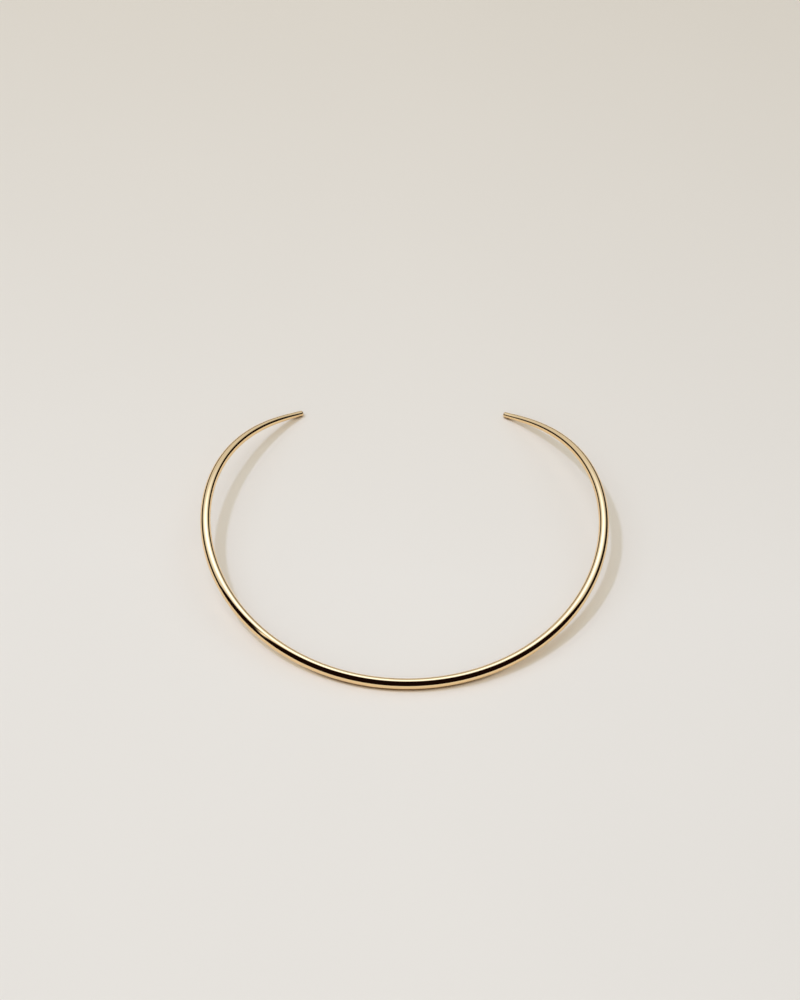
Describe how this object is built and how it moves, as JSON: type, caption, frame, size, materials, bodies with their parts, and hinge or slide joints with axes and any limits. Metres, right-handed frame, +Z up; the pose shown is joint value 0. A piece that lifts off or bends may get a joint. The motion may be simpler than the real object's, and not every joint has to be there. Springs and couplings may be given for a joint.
{
  "type": "open collar choker",
  "caption": "Rigid neck ring bent from one round polished wire: oval, open at the back, thickest at the front and thinning to two square-cut ends.",
  "frame": {"origin": "on the surface the collar lies on, under the middle of its outer size", "axes": "+X across the neck towards the wearer's left, +Y towards the open back, +Z up"},
  "size_m": [0.1282, 0.1152, 0.0113],
  "materials": {
    "polished_gold": "polished"
  },
  "bodies": {
    "root": {"collar": "polished_gold"}
  },
  "joints": []
}
